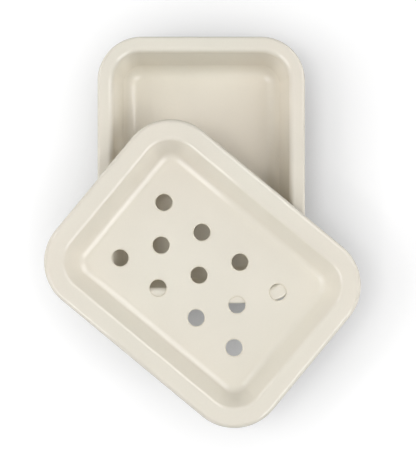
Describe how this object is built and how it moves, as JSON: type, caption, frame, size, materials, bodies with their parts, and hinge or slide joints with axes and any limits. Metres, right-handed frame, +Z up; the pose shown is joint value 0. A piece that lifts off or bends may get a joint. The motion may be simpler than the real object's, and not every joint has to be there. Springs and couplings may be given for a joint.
{
  "type": "enamel soap dish",
  "caption": "Two-piece enamelled soap dish: a deep tray that catches water, with its pierced drainer lifted out and laid askew across the tray's front.",
  "frame": {"origin": "centre of the tray's flat base, where the dish stands", "axes": "+Z up out of the tray, +Y along the tray to its back, away from the drainer, +X to the right"},
  "size_m": [0.1682, 0.2095, 0.0431],
  "materials": {
    "cream_enamel": "glossy"
  },
  "bodies": {
    "root": {"tray": "cream_enamel", "drainer": "cream_enamel"}
  },
  "joints": []
}
